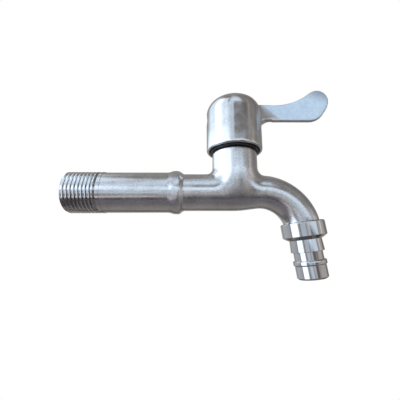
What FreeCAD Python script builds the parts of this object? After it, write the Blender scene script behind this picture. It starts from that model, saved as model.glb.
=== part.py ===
import FreeCAD, Part
import os
import re

import Sketcher
from FreeCAD import Placement, Rotation, Vector

# Washing machine tap in stainless steel, in millimetres.
# X runs from the wall to the outlet, Z runs up along the spindle, and Y points away from the viewer.
# The origin is the centre of the land behind the inlet thread, where the tap leaves the wall.

DIMENSIONS = [
    # inlet thread and extension tube
    ("thread_radius", 10.478, "outside radius of the G1/2 thread"),
    ("thread_depth", 1.162, "depth of one thread groove"),
    ("thread_pitch", 1.814, "14 threads to the inch"),
    ("thread_length", 16.2, "threaded stretch"),
    ("thread_chamfer", 1.0, "lead-in at the end of the thread"),
    ("crest_width", 0.5, "flat left on each thread"),
    ("root_width", 0.3, "flat at the bottom of the groove"),
    ("relief_width", 1.2, "plain groove where the thread tool runs out"),
    ("land_length", 1.6, "plain land behind the relief"),
    ("cut_over", 1.0, "how far a cut runs past the face it opens"),
    ("groove_over", 0.3, "how far the thread's cutter stands out of the crest"),
    ("weld_gap", 0.02, "gap under the weld bead"),
    ("close_fit", 0.05, "gap between pieces that screw or press together"),
    ("tube_radius", 10.25, "outside of the extension tube"),
    ("tube_bore", 7.4, "bore radius of the extension tube"),
    ("joint_x", 36.5, "where the tube meets the body"),
    ("bead_arc", 5.6, "radius of the weld bead's back"),
    ("bead_half", 3.7, "half the width of the weld bead"),
    # cast body
    ("run_step", 0.85, "how much slimmer the straight run is than the tube"),
    ("run_bore", 7.0, "bore radius of the straight run"),
    ("neck_x", 66.0, "distance from the wall to the spindle's axis"),
    ("neck_radius", 11.55, "outside of the neck"),
    ("neck_top", 21.1, "height of the neck's top face"),
    ("neck_round", 0.5, "rounded top edge of the neck"),
    ("bowl_top", 3.5, "height where the neck starts to draw in"),
    ("bowl_arc", 7.5, "radius of the bowl's side"),
    ("bowl_floor", -3.6, "depth of the bowl's floor"),
    ("spout_radius", 8.5, "outside of the spout"),
    ("spout_bore", 6.2, "bore radius of the spout"),
    ("spout_start", 12.0, "from the spindle's axis to the start of the bend"),
    ("taper_start", 2.0, "from the spindle's axis to where the run draws in"),
    ("spout_rise", 0.4, "height of the spout's centre at its start"),
    ("bend_radius", 21.3, "centre line radius of the spout"),
    ("bend_turn", 77.7, "turn of the spout's bend"),
    ("nozzle_tilt", 7.5, "lean of the nipple from the vertical"),
    ("nozzle_lead", 3.0, "from the nipple's top up to the end of a full bend"),
    ("stub_radius", 8.2, "thread on the spout's end"),
    ("stub_top", 1.2, "where the spout's thread begins, below the nipple's top"),
    ("stub_end", 6.2, "where the spout ends, below the nipple's top"),
    # seat and chamber inside the body
    ("seat_under", 1.2, "underside of the seat wall"),
    ("seat_top", 3.2, "top of the seat wall"),
    ("seat_hole", 4.6, "radius of the water hole through the seat wall"),
    ("chamber_radius", 8.9, "radius of the chamber round the cartridge"),
    ("chamber_top", 12.0, "height where the neck's thread begins"),
    ("neck_thread", 9.1, "bore radius of the neck's thread"),
    ("ring_seat_radius", 10.35, "counterbore for the flange's rubber ring"),
    ("ring_seat_depth", 1.3, "depth of that counterbore"),
    ("run_end", -11.0, "end of the full inlet bore, from the spindle's axis"),
    ("under_seat_step", 0.4, "step up from the inlet bore's floor to that space's floor"),
    ("under_seat_end", 5.5, "end of the space under the seat, from the spindle's axis"),
    ("outlet_start", 7.5, "start of the spout's bore, from the spindle's axis"),
    ("gallery_end", 9.6, "end of the opening from the chamber into the spout"),
    ("gallery_half", 4.2, "half the width of that opening"),
    ("gallery_top", 5.8, "top of that opening"),
    # hose nipple, measured down its own axis from its top face
    ("collar_radius", 10.45, "outside of the collar"),
    ("collar_edge", 0.5, "broken edge at the collar's top"),
    ("collar_end", 6.9, "end of the collar's straight side"),
    ("collar_foot", 8.45, "end of the collar's bevel"),
    ("collar_foot_radius", 8.05, "radius at the end of the bevel"),
    ("collar_mouth", 8.95, "radius of the collar's mouth"),
    ("collar_mouth_depth", 2.2, "depth of the collar's mouth"),
    ("step_one_radius", 7.55, "first step where it leaves the collar"),
    ("step_one_foot", 7.85, "first step at its lower edge"),
    ("step_one_end", 14.3, "end of the first step"),
    ("step_two_radius", 6.8, "second step"),
    ("bead_start", 18.4, "start of the retaining bead"),
    ("bead_radius", 7.75, "radius of the retaining bead"),
    ("bead_end", 20.6, "end of the retaining bead"),
    ("bead_round", 0.5, "rounded edges of the retaining bead"),
    ("nose_radius", 7.2, "nose below the bead"),
    ("nipple_length", 27.1, "overall length of the nipple"),
    ("nose_chamfer", 0.7, "lead-in at the nose"),
    ("nipple_bore", 5.2, "bore radius of the nipple"),
    ("gasket_thickness", 1.1, "flat washer in the collar"),
    ("gasket_bore", 5.6, "hole radius of that washer"),
    # headwork
    ("sleeve_wall", 0.8, "wall of the housing's lower sleeve"),
    ("disc_room", 0.3, "room round the discs and the drive plate in that sleeve"),
    ("sleeve_bottom", 4.4, "lower end of the sleeve"),
    ("flange_radius", 11.2, "radius of the housing's flange"),
    ("flange_thickness", 1.8, "thickness of the housing's flange"),
    ("hexagon_radius", 10.2, "corner radius of the hexagon"),
    ("hexagon_height", 4.2, "height of the hexagon"),
    ("guide_wall", 2.74, "wall of the stem guide"),
    ("guide_top", 33.5, "top of the stem guide"),
    ("guide_clearance", 0.06, "running clearance of the stem in its guide"),
    ("window_width", 6.0, "width of the water windows"),
    ("window_low", 8.4, "lower edge of the water windows"),
    ("window_high", 11.8, "upper edge of the water windows"),
    ("ring_wire", 0.6, "wire radius of the flange's rubber ring"),
    # discs and seals
    ("seal_height", 2.2, "height of the seat seal"),
    ("disc_radius", 6.4, "radius of the ceramic discs, the seat seal and the drive plate"),
    ("seal_wall", 1.3, "wall of the seat seal"),
    ("support_wall", 1.0, "wall of the support ring"),
    ("fixed_disc_height", 2.8, "thickness of the fixed disc"),
    ("moving_disc_height", 2.5, "thickness of the moving disc"),
    ("disc_gap", 0.05, "working gap between moving faces"),
    ("port_inner", 1.8, "inner radius of the disc ports"),
    ("port_outer", 4.4, "outer radius of the disc ports"),
    ("port_half_angle", 38.0, "half the angle of each disc port"),
    ("ear_half", 1.5, "half the width of the fixed disc's ears"),
    ("ear_reach", 0.9, "reach of the fixed disc's ears past its rim"),
    # spindle
    ("plate_height", 2.2, "thickness of the drive plate"),
    ("stem_radius", 4.0, "radius of the stem"),
    ("stem_groove_depth", 0.9, "depth of the ring grooves"),
    ("stem_groove_width", 1.5, "width of the ring grooves"),
    ("low_groove", 17.5, "height of the lower ring groove's middle"),
    ("high_groove", 23.0, "height of the upper ring groove's middle"),
    ("stem_ring_wire", 0.46, "wire radius of the stem's rubber rings"),
    ("stem_top", 44.0, "top of the spindle"),
    ("stem_chamfer", 0.5, "broken edge at the top of the spindle"),
    ("square_width", 6.2, "width across the square"),
    ("square_bottom", 35.6, "height where the square begins"),
    ("tang_half_length", 5.1, "half length of the tang"),
    ("tang_width", 2.0, "width of the tang"),
    ("tang_height", 1.1, "height of the tang"),
    ("tang_clearance", 0.1, "clearance of the tang in its slot"),
    ("notch_depth", 1.4, "depth of the stop notch"),
    ("notch_middle", 225.0, "direction of the stop notch's middle when closed"),
    ("notch_half_angle", 60.5, "half the angle of the stop notch"),
    ("stop_width", 2.4, "width of the stop lug in the housing"),
    ("stop_reach", 1.5, "how far the stop lug stands in from the sleeve"),
    ("glide_thickness", 0.8, "thickness of the glide ring"),
    ("glide_room", 0.3, "room round the stem in the glide ring"),
    ("washer_thickness", 0.5, "thickness of the thrust washer"),
    ("washer_step", 0.6, "how far the thrust washer stays inside the stem guide's edge"),
    ("circlip_thickness", 0.8, "thickness of the circlip"),
    ("circlip_reach", 1.3, "how far the circlip stands out of the stem"),
    ("circlip_depth", 0.6, "depth of the circlip's groove"),
    ("circlip_slack", 0.05, "slack of the circlip in its groove"),
    ("circlip_mouth", 60.0, "open angle of the circlip"),
    # handle
    ("skirt_bottom", 21.6, "height of the skirt's rim"),
    ("skirt_wall", 1.45, "wall of the skirt at its rim"),
    ("skirt_edge", 0.5, "rounded edge of the rim"),
    ("dome_start", 42.2, "height where the dome begins"),
    ("dome_shoulder", 8.6, "shoulder radius of the dome"),
    ("dome_top", 52.7, "height of the crown"),
    ("cavity_ledge", 0.65, "step in from the rim's inside to the hollow above it"),
    ("cavity_step", 26.0, "height where the inside draws in"),
    ("cavity_shoulder", 42.5, "height of the cavity's shoulder"),
    ("cavity_top_radius", 8.0, "radius of the cavity's ceiling"),
    ("cavity_top", 48.0, "height of the cavity's ceiling"),
    ("hub_radius", 6.6, "radius of the handle's hub"),
    ("hub_bottom", 36.4, "lower end of the hub"),
    ("square_clearance", 0.04, "clearance of the square in the hub"),
    ("socket_spare", 0.5, "room above the spindle's top"),
    ("boss_radius", 3.7, "radius of the screw's boss"),
    ("screw_height", 40.2, "height of the grub screw"),
    ("screw_radius", 2.5, "M5 grub screw"),
    ("screw_sink", 1.75, "how far the grub screw's end lies inside the skirt"),
    ("screw_key", 1.25, "half width of its hexagon socket"),
    ("screw_key_depth", 2.5, "depth of its hexagon socket"),
    # lever
    ("lever_bottom", 39.0, "height of the lever's lower edge"),
    ("lever_root_top", 49.3, "height of the lever where it leaves the dome"),
    ("lever_waist_x", 22.7, "reach of the lever's waist"),
    ("lever_waist_top", 48.6, "height of the waist"),
    ("lever_hollow", 31.0, "radius of the hollow upper edge"),
    ("lever_neck_x", 41.8, "reach of the upper end of the hollow"),
    ("lever_neck_top", 55.8, "height there"),
    ("lever_crown_in", 6.9, "radius of the crown towards the hollow"),
    ("lever_crown_x", 46.4, "reach of the lever's highest point"),
    ("lever_crown", 57.6, "height of the lever's highest point"),
    ("lever_crown_out", 6.2, "radius of the crown towards the tip"),
    ("lever_tip_x", 52.1, "reach of the lever's tip"),
    ("lever_tip_z", 51.0, "height of the tip"),
    ("lever_tip_arc", 13.5, "radius between tip and heel"),
    ("lever_heel_x", 48.9, "reach of the heel below the tip"),
    ("lever_heel_z", 44.0, "height of the heel"),
    ("lever_heel_arc", 9.5, "radius between heel and lower edge"),
    ("lever_sole_x", 40.5, "reach where the lower edge begins to rise"),
    ("lever_thickness", 2.5, "thickness of the lever"),
    ("lever_edge", 0.9, "rounded edges of the lever"),
    ("lever_start", 6.0, "where the lever's root begins inside the dome"),
    ("root_low_half", 5.7, "half width of the flared root at the lower edge, where it begins"),
    ("root_low_end", 23.7, "reach of the flared root at the lower edge, inside the fin"),
    ("root_high_half", 3.6, "half width of the flared root at the waist, where it begins"),
    ("root_high_end", 15.5, "reach of the flared root at the waist, inside the fin"),
    ("lever_under_blend", 3.6, "fillet under the lever's root"),
    # black ring
    ("ring_wall", 1.45, "wall of the black ring below its step"),
    ("ring_gap", 0.35, "gap between the skirt and the black ring"),
    ("ring_top", 24.4, "top of the black ring"),
    ("ring_lift", 0.05, "clearance of the black ring over the neck and flange"),
]

REFERENCES = {alias: f"Dims.{alias}" for alias, _, _ in DIMENSIONS}

doc = FreeCAD.newDocument("washing_machine_tap")
sheet = doc.addObject("Spreadsheet::Sheet", "Dims")
for row, (alias, size, meaning) in enumerate(DIMENSIONS, start=1):
    sheet.set(f"A{row}", alias)
    sheet.set(f"B{row}", str(size))
    sheet.setAlias(f"B{row}", alias)
    sheet.set(f"C{row}", meaning)
doc.recompute()


def named(formula):
    """The formula with each alias written as a reference to the sheet."""
    return re.sub("[a-z_]+", lambda word: REFERENCES.get(word[0], word[0]), formula)


def number(formula):
    """The formula's value now."""
    return float(sheet.evalExpression(named(formula)))


def bind(thing, path, formula):
    thing.setExpression(path, named(formula))


def part_body(label):
    body = doc.addObject("PartDesign::Body", label)
    body.Label = label
    return body


def sketch_on(body, name, role, x="0", y="0", out="0", turn=None):
    """A sketch on one of the body's own origin planes, shifted in that plane and along its normal."""
    sketch = body.newObject("Sketcher::SketchObject", name)
    plane = [item for item in body.Origin.OriginFeatures if item.Role == role][0]
    sketch.AttachmentSupport = [(plane, "")]
    sketch.MapMode = "FlatFace"
    if turn:
        sketch.AttachmentOffset = Placement(Vector(0, 0, 0), Rotation(Vector(0, 0, 1), 1))
        bind(sketch, "AttachmentOffset.Rotation.Angle", turn)
    for axis, formula in (("x", x), ("y", y), ("z", out)):
        if formula != "0":
            bind(sketch, f"AttachmentOffset.Base.{axis}", formula)
    return sketch


def hold_point(sketch, item, end, x, y):
    """Fix one end of a line or arc at a place given by two formulas."""
    for kind, formula, axis in (("DistanceX", x, -2), ("DistanceY", y, -1)):
        if formula == "0":
            sketch.addConstraint(Sketcher.Constraint("PointOnObject", item, end, axis))
            continue
        rule = Sketcher.Constraint(kind, -1, 1, item, end, number(formula))
        index = sketch.addConstraint(rule)
        bind(sketch, f"Constraints[{index}]", formula)


def arc_item(start, end, radius, way):
    """The shorter arc from start to end, counterclockwise where way is 1."""
    middle = (start + end) * 0.5
    along = end - start
    height = (radius**2 - (along.Length / 2) ** 2) ** 0.5
    side = Vector(-along.y, along.x, 0).normalize()
    centre = middle + side * (height * way)
    first, last = (start, end) if way > 0 else (end, start)
    bulge = (middle - centre).normalize() * radius + centre
    return Part.Arc(first, bulge, last)


def path(sketch, corners, closed=True):
    """Lines through the corners. A corner with a radius and a way starts an arc instead."""
    places = [Vector(number(corner[0]), number(corner[1]), 0) for corner in corners]
    first = sketch.GeometryCount
    count = len(corners)
    ends = []
    for index in range(count if closed else count - 1):
        start, end = places[index], places[(index + 1) % count]
        if len(corners[index]) == 2:
            sketch.addGeometry(Part.LineSegment(start, end), False)
            ends.append((1, 2))
            continue
        radius, way = corners[index][2:]
        sketch.addGeometry(arc_item(start, end, number(radius), way), False)
        ends.append((1, 2) if way > 0 else (2, 1))
    for index, (_, last) in enumerate(ends):
        following = (index + 1) % count
        if following < len(ends):
            rule = ("Coincident", first + index, last, first + following, ends[following][0])
            sketch.addConstraint(Sketcher.Constraint(*rule))
    for index, corner in enumerate(corners):
        item, end = (index, ends[index][0]) if index < len(ends) else (index - 1, ends[-1][1])
        hold_point(sketch, first + item, end, corner[0], corner[1])
        if len(corner) == 4:
            rule = Sketcher.Constraint("Radius", first + index, number(corner[2]))
            bind(sketch, f"Constraints[{sketch.addConstraint(rule)}]", corner[2])
    return sketch


def rectangle(sketch, left, right, low, high):
    return path(sketch, [(left, low), (right, low), (right, high), (left, high)])


def sector(sketch, inner, outer, first, last):
    """The stretch of a ring between two angles."""
    corners = []
    for radius, angle in ((inner, first), (outer, first), (outer, last), (inner, last)):
        corners.append((f"({radius}) * cos({angle})", f"({radius}) * sin({angle})"))
    corners[1] += (outer, 1)
    corners[3] += (inner, -1)
    return path(sketch, corners)


def circle(sketch, radius, x="0", y="0"):
    ring = Part.Circle(Vector(number(x), number(y), 0), Vector(0, 0, 1), number(radius))
    item = sketch.addGeometry(ring, False)
    index = sketch.addConstraint(Sketcher.Constraint("Radius", item, number(radius)))
    bind(sketch, f"Constraints[{index}]", radius)
    hold_point(sketch, item, 3, x, y)


def turned(body, name, sketch, axis="V_Axis", cut=False, angle=None):
    """The sketch turned about one of its axes, all the way or by an angle to both sides."""
    kind = "PartDesign::Groove" if cut else "PartDesign::Revolution"
    feature = body.newObject(kind, name)
    feature.Profile = sketch
    feature.ReferenceAxis = (sketch, [axis])
    feature.Angle = 360
    if angle:
        feature.Midplane = True
        bind(feature, "Angle", angle)
    return feature


def padded(body, name, sketch, length, cut=False, both_sides=False, reverse=False):
    """The sketch pushed along its normal, as material or as a cut."""
    kind = "PartDesign::Pocket" if cut else "PartDesign::Pad"
    feature = body.newObject(kind, name)
    feature.Profile = sketch
    if both_sides:
        feature.SideType = "Symmetric"
    feature.Reversed = reverse
    bind(feature, "Length", length)
    return feature


def edges_where(shape, test):
    return [f"Edge{i}" for i, edge in enumerate(shape.Edges, start=1) if test(edge)]


def rounded(body, name, base, test, radius):
    """Round the edges of the last feature that pass the test."""
    doc.recompute()
    feature = body.newObject("PartDesign::Fillet", name)
    feature.Base = (base, edges_where(base.Shape, test))
    bind(feature, "Radius", radius)


# Places worked out from the dimensions.
THREAD_END = "0 - land_length - relief_width - thread_length"
RUN_RADIUS = "tube_radius - run_step"
BEND_END_X = "spout_start + bend_radius * sin(bend_turn)"
BEND_END_Z = "spout_rise - bend_radius + bend_radius * cos(bend_turn)"
NIPPLE_X = "neck_x + spout_start + bend_radius * cos(nozzle_tilt) - nozzle_lead * sin(nozzle_tilt)"
NIPPLE_Z = "spout_rise - bend_radius + bend_radius * sin(nozzle_tilt) + nozzle_lead * cos(nozzle_tilt)"
FIXED_LOW = "seat_top + seal_height"
FIXED_HIGH = f"{FIXED_LOW} + fixed_disc_height"
MOVING_LOW = f"{FIXED_HIGH} + disc_gap"
MOVING_HIGH = f"{MOVING_LOW} + moving_disc_height"
PLATE_LOW = f"{MOVING_HIGH} + disc_gap"
PLATE_HIGH = f"{PLATE_LOW} + plate_height"
GLIDE_LOW = f"{PLATE_HIGH} + disc_gap"
SHOULDER = f"{GLIDE_LOW} + glide_thickness + disc_gap"
CLIP_LOW = "guide_top + washer_thickness"
CLIP_HIGH = f"{CLIP_LOW} + circlip_thickness + 2 * circlip_slack"
SLEEVE_BORE = "disc_radius + disc_room"
SLEEVE_RADIUS = f"{SLEEVE_BORE} + sleeve_wall"
GUIDE_BORE = "stem_radius + guide_clearance"
GUIDE_RADIUS = f"{GUIDE_BORE} + guide_wall"
SEAL_BORE = "disc_radius - seal_wall"
STEM_GROOVE = "stem_radius - stem_groove_depth"
CLIP_GROOVE = "stem_radius - circlip_depth"
RING_RADIUS = "flange_radius + ring_lift + ring_wall"
RIM_BORE = f"{RING_RADIUS} + ring_gap"
SKIRT_RADIUS = f"{RIM_BORE} + skirt_wall"
CAVITY_RADIUS = f"{RIM_BORE} - cavity_ledge"
SCREW_LENGTH = f"{SKIRT_RADIUS} - screw_sink - square_width / 2 - disc_gap"
FLANGE_TOP = "neck_top + flange_thickness"


def ring_about_spindle(label, inner, outer, low, high):
    """A plain ring or disc round the spindle's axis."""
    body = part_body(label)
    profile = sketch_on(body, f"{label}_profile", "XZ_Plane", x="neck_x")
    rectangle(profile, inner, outer, low, high)
    turned(body, f"{label}_ring", profile)
    return body


def inlet_extension():
    """Drawn tube: its wall end has the thread, the tool's relief and a plain land."""
    body = part_body("inlet_extension")
    root = "thread_radius - thread_depth"
    relief = "0 - land_length - relief_width"
    profile = sketch_on(body, "tube_profile", "XZ_Plane")
    path(profile, [
        (THREAD_END, "tube_bore"),
        ("joint_x", "tube_bore"),
        ("joint_x", "tube_radius"),
        ("0", "tube_radius"),
        ("0", "thread_radius"),
        ("0 - land_length", "thread_radius"),
        ("0 - land_length", root),
        (relief, root),
        (relief, "thread_radius"),
        (f"{THREAD_END} + thread_chamfer", "thread_radius"),
        (THREAD_END, "thread_radius - thread_chamfer"),
    ])
    turned(body, "tube", profile, "H_Axis")
    groove = sketch_on(body, "thread_groove", "XZ_Plane", x=f"{THREAD_END} - thread_pitch")
    mouth = "(thread_pitch - crest_width) / 2"
    slope = f"({mouth} - root_width / 2) / thread_depth"
    wide = f"{mouth} + {slope} * groove_over"
    path(groove, [
        ("0 - root_width / 2", root),
        ("root_width / 2", root),
        (wide, "thread_radius + groove_over"),
        (f"0 - ({wide})", "thread_radius + groove_over"),
    ])
    thread = body.newObject("PartDesign::SubtractiveHelix", "thread")
    thread.Profile = groove
    thread.ReferenceAxis = (groove, ["H_Axis"])
    thread.Mode = 0
    bind(thread, "Pitch", "thread_pitch")
    bind(thread, "Height", "thread_length + thread_pitch")
    return body


def weld_bead():
    """Weld laid round the joint, higher on the tube's side than on the body's."""
    body = part_body("weld_bead")
    profile = sketch_on(body, "bead_profile", "XZ_Plane", x="joint_x")
    path(profile, [
        ("bead_half", f"{RUN_RADIUS} + weld_gap", "bead_arc", 1),
        ("0 - bead_half", "tube_radius + weld_gap"),
        ("0", "tube_radius + weld_gap"),
        ("0", f"{RUN_RADIUS} + weld_gap"),
    ])
    turned(body, "bead", profile, "H_Axis")
    return body


def body_outside(body):
    """Run, neck with its bowl, taper, spout and the thread on the spout's end."""
    run = sketch_on(body, "run_profile", "XZ_Plane")
    rectangle(run, "joint_x", "neck_x + taper_start", "0", RUN_RADIUS)
    turned(body, "run", run, "H_Axis")
    neck = sketch_on(body, "neck_profile", "XZ_Plane", x="neck_x")
    floor_x = "neck_radius - bowl_arc + sqrt(bowl_arc ^ 2 - (bowl_top - bowl_floor) ^ 2)"
    path(neck, [
        ("0", "bowl_floor"),
        (floor_x, "bowl_floor", "bowl_arc", 1),
        ("neck_radius", "bowl_top"),
        ("neck_radius", "neck_top - neck_round", "neck_round", 1),
        ("neck_radius - neck_round", "neck_top"),
        ("0", "neck_top"),
    ])
    turned(body, "neck", neck)
    wide = sketch_on(body, "taper_wide", "YZ_Plane", out="neck_x + taper_start")
    circle(wide, RUN_RADIUS)
    start = "neck_x + spout_start"
    narrow = sketch_on(body, "taper_narrow", "YZ_Plane", y="spout_rise", out=start)
    circle(narrow, "spout_radius")
    taper = body.newObject("PartDesign::AdditiveLoft", "taper")
    taper.Profile = wide
    taper.Sections = [narrow]
    mouth = sketch_on(body, "spout_section", "YZ_Plane", y="spout_rise", out=start)
    circle(mouth, "spout_radius")
    spout = body.newObject("PartDesign::AdditivePipe", "spout")
    spout.Profile = mouth
    spout.Spine = bend_line(body, "spout_line")
    stub = sketch_on(body, "stub_profile", "XZ_Plane", NIPPLE_X, NIPPLE_Z, turn="nozzle_tilt")
    rectangle(stub, "0", "stub_radius", "0 - stub_end", "cut_over - stub_top")
    turned(body, "stub", stub)


def bend_line(body, name):
    """Centre line of the spout's bend, from its start to the stub."""
    line = sketch_on(body, name, "XZ_Plane", x="neck_x")
    path(line, [("spout_start", "spout_rise", "bend_radius", -1), (BEND_END_X, BEND_END_Z)], False)
    return line


def body_passages(body):
    """Chamber and thread in the neck, the seat wall's hole, the inlet bore and the spout's bore."""
    chamber = sketch_on(body, "chamber_profile", "XZ_Plane", x="neck_x")
    path(chamber, [
        ("0", "0"),
        ("seat_hole", "0"),
        ("seat_hole", "seat_top"),
        ("chamber_radius", "seat_top"),
        ("chamber_radius", "chamber_top"),
        ("neck_thread", "chamber_top"),
        ("neck_thread", "neck_top - ring_seat_depth"),
        ("ring_seat_radius", "neck_top - ring_seat_depth"),
        ("ring_seat_radius", "neck_top + cut_over"),
        ("0", "neck_top + cut_over"),
    ])
    turned(body, "chamber", chamber, cut=True)
    inlet = sketch_on(body, "inlet_section", "YZ_Plane", out="joint_x - cut_over")
    circle(inlet, "run_bore")
    length = "neck_x + run_end - joint_x + cut_over"
    padded(body, "inlet_bore", inlet, length, cut=True, reverse=True)
    low = sketch_on(body, "under_seat_section", "YZ_Plane", out="neck_x + run_end - cut_over")
    depth = "(run_bore - under_seat_step)"
    circle(low, f"({depth} + seat_under) / 2", y=f"(seat_under - {depth}) / 2")
    length = "under_seat_end - run_end + cut_over"
    padded(body, "under_seat", low, length, cut=True, reverse=True)
    outlet = sketch_on(body, "outlet_section", "YZ_Plane", y="spout_rise", out="neck_x + outlet_start")
    circle(outlet, "spout_bore")
    length = "spout_start - outlet_start"
    padded(body, "outlet", outlet, length, cut=True, reverse=True)
    gallery = sketch_on(body, "gallery_section", "YZ_Plane", out="neck_x")
    rectangle(gallery, "0 - gallery_half", "gallery_half", "seat_top", "gallery_top")
    padded(body, "gallery", gallery, "gallery_end", cut=True, reverse=True)
    section = sketch_on(body, "bore_section", "YZ_Plane", y="spout_rise", out="neck_x + spout_start")
    circle(section, "spout_bore")
    bore = body.newObject("PartDesign::SubtractivePipe", "spout_hole")
    bore.Profile = section
    bore.Spine = bend_line(body, "bore_line")
    end = sketch_on(body, "stub_bore_profile", "XZ_Plane", NIPPLE_X, NIPPLE_Z, turn="nozzle_tilt")
    rectangle(end, "0", "spout_bore", "0 - stub_end - cut_over", "cut_over - stub_top")
    turned(body, "stub_bore", end, cut=True)


def tap_body():
    """Investment casting: run, neck and spout in one, bored and threaded inside."""
    body = part_body("tap_body")
    body_outside(body)
    body_passages(body)
    return body


def at_height(edge, height):
    """Does the whole edge lie at this height?"""
    box = edge.BoundBox
    return abs(box.ZMin - number(height)) < 0.001 and abs(box.ZMax - number(height)) < 0.001


def on_nipple(body):
    """Put a body drawn about its own axis on the nipple's axis."""
    body.Placement = Placement(Vector(0, 0, 0), Rotation(Vector(0, -1, 0), 1))
    bind(body, "Placement.Rotation.Angle", "nozzle_tilt")
    bind(body, "Placement.Base.x", NIPPLE_X)
    bind(body, "Placement.Base.z", NIPPLE_Z)
    return body


def hose_nipple():
    """Turned nipple: its collar screws over the spout's end, and a hose connector pushes on below."""
    body = part_body("hose_nipple")
    floor = "0 - stub_end - gasket_thickness"
    profile = sketch_on(body, "nipple_profile", "XZ_Plane")
    path(profile, [
        ("collar_mouth", "0"),
        ("collar_radius - collar_edge", "0"),
        ("collar_radius", "0 - collar_edge"),
        ("collar_radius", "0 - collar_end"),
        ("collar_foot_radius", "0 - collar_foot"),
        ("step_one_radius", "0 - collar_foot"),
        ("step_one_foot", "0 - step_one_end"),
        ("step_two_radius", "0 - step_one_end"),
        ("step_two_radius", "0 - bead_start"),
        ("bead_radius", "0 - bead_start"),
        ("bead_radius", "0 - bead_end"),
        ("nose_radius", "0 - bead_end"),
        ("nose_radius", "nose_chamfer - nipple_length"),
        ("nose_radius - nose_chamfer", "0 - nipple_length"),
        ("nipple_bore", "0 - nipple_length"),
        ("nipple_bore", floor),
        ("stub_radius + close_fit", floor),
        ("stub_radius + close_fit", "0 - collar_mouth_depth"),
        ("collar_mouth", "0 - collar_mouth_depth"),
    ])
    nipple = turned(body, "nipple", profile)
    bead = ("0 - bead_start", "0 - bead_end")
    radius = number("bead_radius")
    rounded(body, "bead_edges", nipple, lambda e: any(
        at_height(e, place) and abs(e.Curve.Radius - radius) < 0.001 for place in bead
    ), "bead_round")
    return on_nipple(body)


def nipple_gasket():
    """Flat rubber washer, squeezed between the spout's end and the nipple."""
    body = part_body("nipple_gasket")
    profile = sketch_on(body, "gasket_profile", "XZ_Plane")
    low = "0 - stub_end - gasket_thickness"
    rectangle(profile, "gasket_bore", "stub_radius - close_fit", low, "0 - stub_end")
    turned(body, "gasket", profile)
    return on_nipple(body)


def cartridge_housing():
    """Turned headwork: sleeve with water windows, neck thread, flange, hexagon and stem guide."""
    body = part_body("cartridge_housing")
    thread = "neck_thread - close_fit"
    profile = sketch_on(body, "housing_profile", "XZ_Plane", x="neck_x")
    path(profile, [
        (SLEEVE_BORE, "sleeve_bottom"),
        (SLEEVE_RADIUS, "sleeve_bottom"),
        (SLEEVE_RADIUS, "chamber_top"),
        (thread, "chamber_top"),
        (thread, "neck_top"),
        ("flange_radius", "neck_top"),
        ("flange_radius", FLANGE_TOP),
        (GUIDE_RADIUS, FLANGE_TOP),
        (GUIDE_RADIUS, "guide_top"),
        (GUIDE_BORE, "guide_top"),
        (GUIDE_BORE, SHOULDER),
        (SLEEVE_BORE, SHOULDER),
    ])
    turned(body, "housing", profile)
    flats = sketch_on(body, "hexagon_outline", "XY_Plane", x="neck_x", out=FLANGE_TOP)
    corner_angles = [60 * index for index in range(6)]
    path(flats, [(f"hexagon_radius * cos({a})", f"hexagon_radius * sin({a})") for a in corner_angles])
    circle(flats, f"{GUIDE_RADIUS} - close_fit")
    padded(body, "hexagon", flats, "hexagon_height")
    window = sketch_on(body, "window_outline", "YZ_Plane", out="neck_x")
    half = "window_width / 2"
    rectangle(window, f"0 - {half}", half, "window_low", "window_high")
    padded(body, "windows", window, f"2 * ({SLEEVE_RADIUS}) + cut_over", cut=True, both_sides=True)
    slot = sketch_on(body, "ear_slot_outline", "XZ_Plane", x="neck_x")
    half = "ear_half + tang_clearance"
    rectangle(slot, f"0 - ({half})", half, "sleeve_bottom - cut_over", f"{FIXED_HIGH} + disc_gap")
    padded(body, "ear_slots", slot, f"2 * ({SLEEVE_RADIUS}) + cut_over", cut=True, both_sides=True)
    lug = sketch_on(body, "stop_outline", "XY_Plane", x="neck_x", out=f"{PLATE_LOW} + tang_clearance")
    half = "stop_width / 2"
    rectangle(lug, f"0 - {half}", half, f"0 - ({SLEEVE_BORE}) - close_fit", f"stop_reach - ({SLEEVE_BORE})")
    padded(body, "stop_lug", lug, "plate_height - 2 * tang_clearance")
    return body


def torus(name, ring, wire, height):
    item = doc.addObject("Part::Torus", name)
    bind(item, "Radius1", ring)
    bind(item, "Radius2", wire)
    bind(item, "Placement.Base.x", "neck_x")
    bind(item, "Placement.Base.z", height)
    return item


def housing_o_ring():
    """Rubber ring under the housing's flange."""
    ring = "(ring_seat_radius + neck_thread) / 2"
    return torus("housing_o_ring", ring, "ring_wire", "neck_top - ring_seat_depth / 2")


def spindle_o_rings():
    """The two rubber rings on the stem."""
    rings = doc.addObject("Part::Compound", "spindle_o_rings")
    reach = f"{STEM_GROOVE} + stem_ring_wire + disc_gap / 2"
    rings.Links = [
        torus(f"{groove}_ring", reach, "stem_ring_wire", groove)
        for groove in ("low_groove", "high_groove")
    ]
    return rings


def groove_corners(middle):
    """The four corners of one ring groove in the stem, going up."""
    low = f"{middle} - stem_groove_width / 2"
    high = f"{middle} + stem_groove_width / 2"
    return [("stem_radius", low), (STEM_GROOVE, low), (STEM_GROOVE, high), ("stem_radius", high)]


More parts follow.
